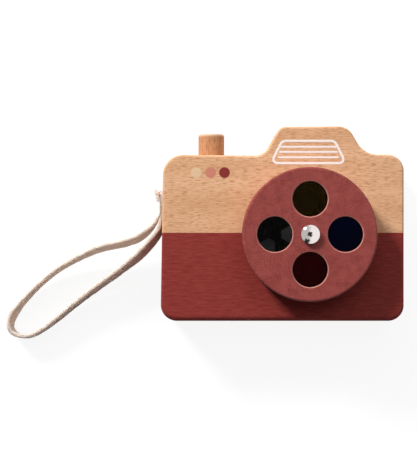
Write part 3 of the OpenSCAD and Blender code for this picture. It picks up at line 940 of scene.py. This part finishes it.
def ink_material(name, colour, grain_group):
    material, tree, shader = new_material(name)
    place = object_place(tree)
    fibres = grain_at(tree, grain_group, place)["Fibres"]
    worn = [share * 0.9 for share in colour[:3]] + [1]
    shade = band(tree, fibres, 0.45, 0.75)
    tree.links.new(mix_colour(tree, shade, colour, worn), shader.inputs["Base Color"])
    tree.links.new(band(tree, fibres, 0.2, 0.8, 0.45, 0.6), shader.inputs["Roughness"])
    shader.inputs["Specular IOR Level"].default_value = 0.15
    bump(tree, shader, fibres, 0.3, 0.05)
    return material


def dull_material(name, pale, deep, scale, low, high, depth):
    """Felt or matt plastic: two tones in a fine speckle, with its relief."""
    material, tree, shader = new_material(name)
    fine = speckle(tree, object_place(tree), scale, 3.0, 0.6)
    tree.links.new(mix_colour(tree, fine, pale, deep), shader.inputs["Base Color"])
    tree.links.new(band(tree, fine, 0.2, 0.8, low, high), shader.inputs["Roughness"])
    bump(tree, shader, fine, 0.5, depth)
    return material


def dress(piece, material):
    """Gives a piece, or a carried-over solid, one material in all its slots."""
    if not piece.data.materials:
        piece.data.materials.append(material)
    for slot in piece.material_slots:
        slot.material = material


def open_rays(tree):
    """1 for rays that see the studio, straight or in metal and glass, and 0 for its scattered light."""
    path = tree.nodes.new("ShaderNodeLightPath").outputs
    seen = sums(tree, "MAXIMUM", path["Is Camera Ray"], path["Is Glossy Ray"])
    return sums(tree, "MAXIMUM", seen, path["Is Transmission Ray"])


def make_floor():
    """A plain pale floor: nearly white to the eye, with the toy's shadow, and it scatters light up."""
    bm = bmesh.new()
    bmesh.ops.create_grid(bm, x_segments=2, y_segments=2, size=FLOOR_REACH)
    bmesh.ops.translate(bm, vec=mm(0, 0, -FLOOR_DROP), verts=bm.verts[:])
    floor = finish_piece(bm, "studio_floor", None)
    material, tree, shader = new_material("studio_white")
    seen = open_rays(tree)
    # The board right under the view tunnel is covered by the toy, so it does not glow
    from_tunnel = apart(tree, object_place(tree), mm(*TUNNEL_PLACE, 0))
    bare = band(tree, from_tunnel, COVERED_RADIUS, BARE_RADIUS)
    shader.inputs["Roughness"].default_value = 0.9
    shader.inputs["Specular IOR Level"].default_value = 0.0
    grey = mix_colour(tree, seen, (FLOOR_BOUNCE,) * 3 + (1,), (FLOOR_SHADOW,) * 3 + (1,))
    tree.links.new(grey, shader.inputs["Base Color"])
    level = sums(tree, "MULTIPLY", sums(tree, "MULTIPLY", seen, bare), FLOOR_GLOW)
    glow = add(tree, "ShaderNodeEmission", {"Color": (1, 1, 1, 1), "Strength": level})
    white = add(tree, "ShaderNodeAddShader", {0: shader.outputs[0], 1: glow.outputs[0]})
    out = next(item for item in tree.nodes if item.type == "OUTPUT_MATERIAL")
    tree.links.new(white.outputs[0], out.inputs["Surface"])
    dress(floor, material)


def make_softbox(name, place, size, power):
    """A square lamp that faces the toy. Metal shows the studio's walls and their glow instead of it."""
    lamp = bpy.data.lights.new(name, "AREA")
    lamp.shape = "SQUARE"
    lamp.size = size
    lamp.energy = power
    softbox = bpy.data.objects.new(name, lamp)
    softbox.location = place
    softbox.rotation_mode = "QUATERNION"
    softbox.rotation_quaternion = Vector(place).to_track_quat("Z", "Y")
    softbox.visible_glossy = False
    scene.collection.objects.link(softbox)


def make_world():
    """A white studio to the eye, with soft light from the hump's side; metal shows pale, uneven walls."""
    world = bpy.data.worlds.new("studio_world")
    world.use_nodes = True
    scene.world = world
    tree = world.node_tree
    sky = next(item for item in tree.nodes if item.type == "BACKGROUND")
    way = tree.nodes.new("ShaderNodeTexCoord").outputs["Generated"]
    split = add(tree, "ShaderNodeSeparateXYZ", {0: way}).outputs
    path = tree.nodes.new("ShaderNodeLightPath").outputs
    ambient = band(tree, split["Y"], -0.5, 0.5, AMBIENT_BELOW, AMBIENT_ABOVE)
    soft = sums(tree, "MULTIPLY", path["Is Diffuse Ray"], ambient)
    uneven = sums(tree, "SUBTRACT", speckle(tree, way, 3.5, 3.0, 0.6), 0.5)
    wall = band(tree, sums(tree, "ADD", split["X"], uneven), -0.25, 0.2, 0.55, 0.95)
    aside = apart(tree, way, DARK_CORNER)
    corner = band(tree, sums(tree, "ADD", aside, uneven), 0.2, 0.38, 0.05, 1.0)
    height = sums(tree, "ADD", split["Z"], sums(tree, "MULTIPLY", uneven, 0.3))
    overhead = band(tree, height, 0.94, 0.985, 1.0, 0.03)
    room = sums(tree, "MULTIPLY", sums(tree, "MULTIPLY", wall, corner), overhead)
    lamp = band(tree, apart(tree, way, Vector(KEY_PLACE).normalized()), 0.16, 0.22, KEY_GLOW, 0.0)
    mirrored = sums(tree, "MULTIPLY", path["Is Glossy Ray"], sums(tree, "MAXIMUM", room, lamp))
    seen = sums(tree, "MAXIMUM", path["Is Camera Ray"], path["Is Transmission Ray"])
    level = sums(tree, "MAXIMUM", sums(tree, "MAXIMUM", soft, mirrored), seen)
    tree.links.new(level, sky.inputs["Strength"])
    sky.inputs["Color"].default_value = (1, 1, 1, 1)


def make_studio():
    make_floor()
    make_softbox("key_softbox", KEY_PLACE, KEY_SIZE, KEY_POWER)
    make_softbox("fill_softbox", FILL_PLACE, FILL_SIZE, FILL_POWER)
    make_world()
    scene.view_settings.view_transform = "Standard"


make_camera()
tape, frays, fuzz, tape_screw = make_strap()
block = make_block()
spring = make_spring()
flash_outline = make_flash_outline()
flash_stripes = make_flash_stripes()
dots = {name: make_dot(name) for name in DOT_PLACES}

grain_group = make_grain_group()
dress(tape, cotton_material("woven_cotton", 1.0, True))
loose_cotton = cotton_material("loose_cotton", 0.0, False)
dress(frays, loose_cotton)
dress(fuzz, loose_cotton)
dress(block, block_material(grain_group))
white_ink = ink_material("white_ink", rgb(247, 236, 231), grain_group)
dress(flash_outline, white_ink)
dress(flash_stripes, white_ink)
dress(dots["dot_cream"], ink_material("cream_ink", rgb(223, 189, 152), grain_group))
dress(dots["dot_pink"], ink_material("pink_ink", rgb(203, 130, 111), grain_group))
dress(dots["dot_burgundy"], ink_material("burgundy_ink", rgb(132, 51, 50), grain_group))
dress(nodes["lens_disc"], disc_material())
dress(nodes["filter_yellow"], acrylic_material("yellow_acrylic", rgb(150, 116, 30), rgb(104, 78, 14)))
dress(nodes["filter_blue"], acrylic_material("blue_acrylic", rgb(24, 34, 120), rgb(16, 22, 92)))
dress(nodes["filter_red"], acrylic_material("red_acrylic", rgb(152, 16, 24), rgb(118, 10, 16)))
dress(nodes["filter_faceted"], acrylic_material("smoke_acrylic", rgb(64, 62, 60), rgb(46, 45, 44)))
plain_steel = metal_material("plain_steel", (0.62, 0.62, 0.63, 1), (0.5, 0.5, 0.5, 1), 0.25, 0.4, 0.01)
for steel_piece in (nodes["axle_pin"], nodes["cap_washer"], nodes["button_pin"], spring):
    dress(steel_piece, plain_steel)
# The chrome's warm tint is a painted reflection of the red disc
bright_chrome = metal_material(
    "bright_chrome", (0.92, 0.86, 0.84, 1), (0.86, 0.79, 0.76, 1), 0.05, 0.1, 0.002,
)
dress(nodes["axle_cap"], bright_chrome)
screw_steel = metal_material("screw_steel", (0.66, 0.66, 0.64, 1), (0.52, 0.52, 0.5, 1), 0.3, 0.45, 0.01)
dress(tape_screw, screw_steel)
dress(nodes["shutter_button"], dowel_material(grain_group))
ring_plastic = dull_material("ring_plastic", rgb(34, 32, 30), rgb(24, 22, 21), 900.0, 0.4, 0.6, 0.02)
for side in ("top", "right", "bottom", "left"):
    dress(nodes["filter_ring_" + side], ring_plastic)
grey_felt = dull_material("grey_felt", rgb(96, 95, 93), rgb(70, 69, 68), 2400.0, 0.85, 0.95, 0.1)
dress(nodes["felt_washer"], grey_felt)
make_studio()
